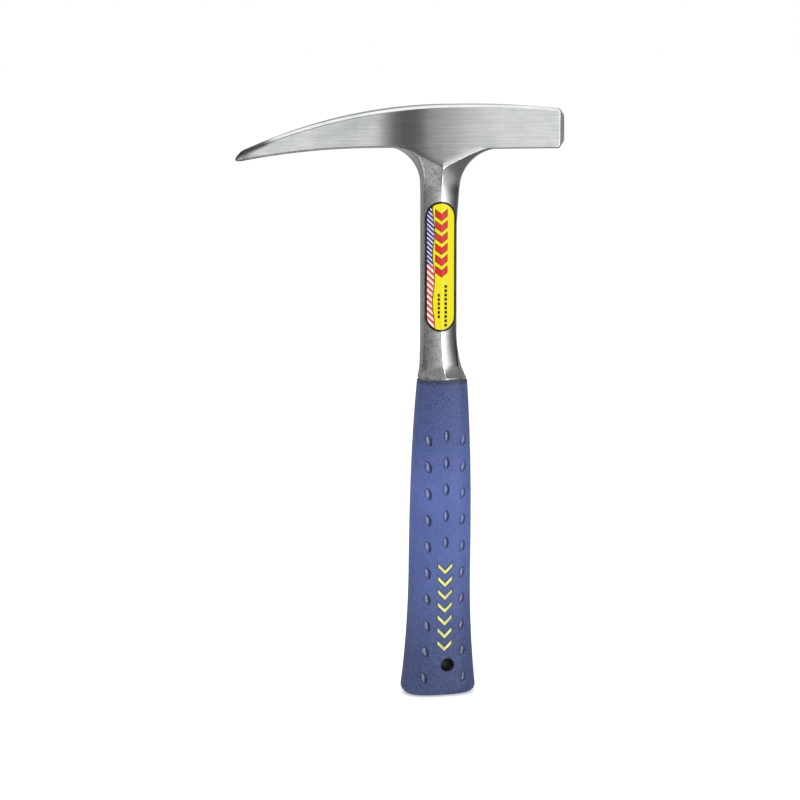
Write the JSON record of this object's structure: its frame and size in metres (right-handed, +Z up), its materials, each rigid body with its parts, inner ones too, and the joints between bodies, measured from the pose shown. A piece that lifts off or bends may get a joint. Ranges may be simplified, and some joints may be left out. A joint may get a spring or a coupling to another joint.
{
  "type": "rock hammer",
  "caption": "One-piece forged steel rock hammer with a curved pointed pick, a square striking face, a faceted shank and a dimpled blue vinyl grip with a lanyard hole.",
  "frame": {"origin": "centre of the flat butt face, the lowest face of the grip", "axes": "+Z up the handle towards the head, +X towards the striking face with the pick at -X, the label and grip mark on the -Y side"},
  "size_m": [0.183, 0.0286, 0.33],
  "materials": {
    "steel": "ground and polished forging",
    "grip_vinyl": "satin moulded vinyl, blue",
    "label_film": "glossy printed film, yellow with a black edge",
    "mark_paint": "pale yellow stamped paint"
  },
  "bodies": {
    "root": {"forged_hammer": "steel", "grip": "grip_vinyl", "shank_label": "label_film", "grip_mark": "mark_paint"}
  },
  "joints": []
}
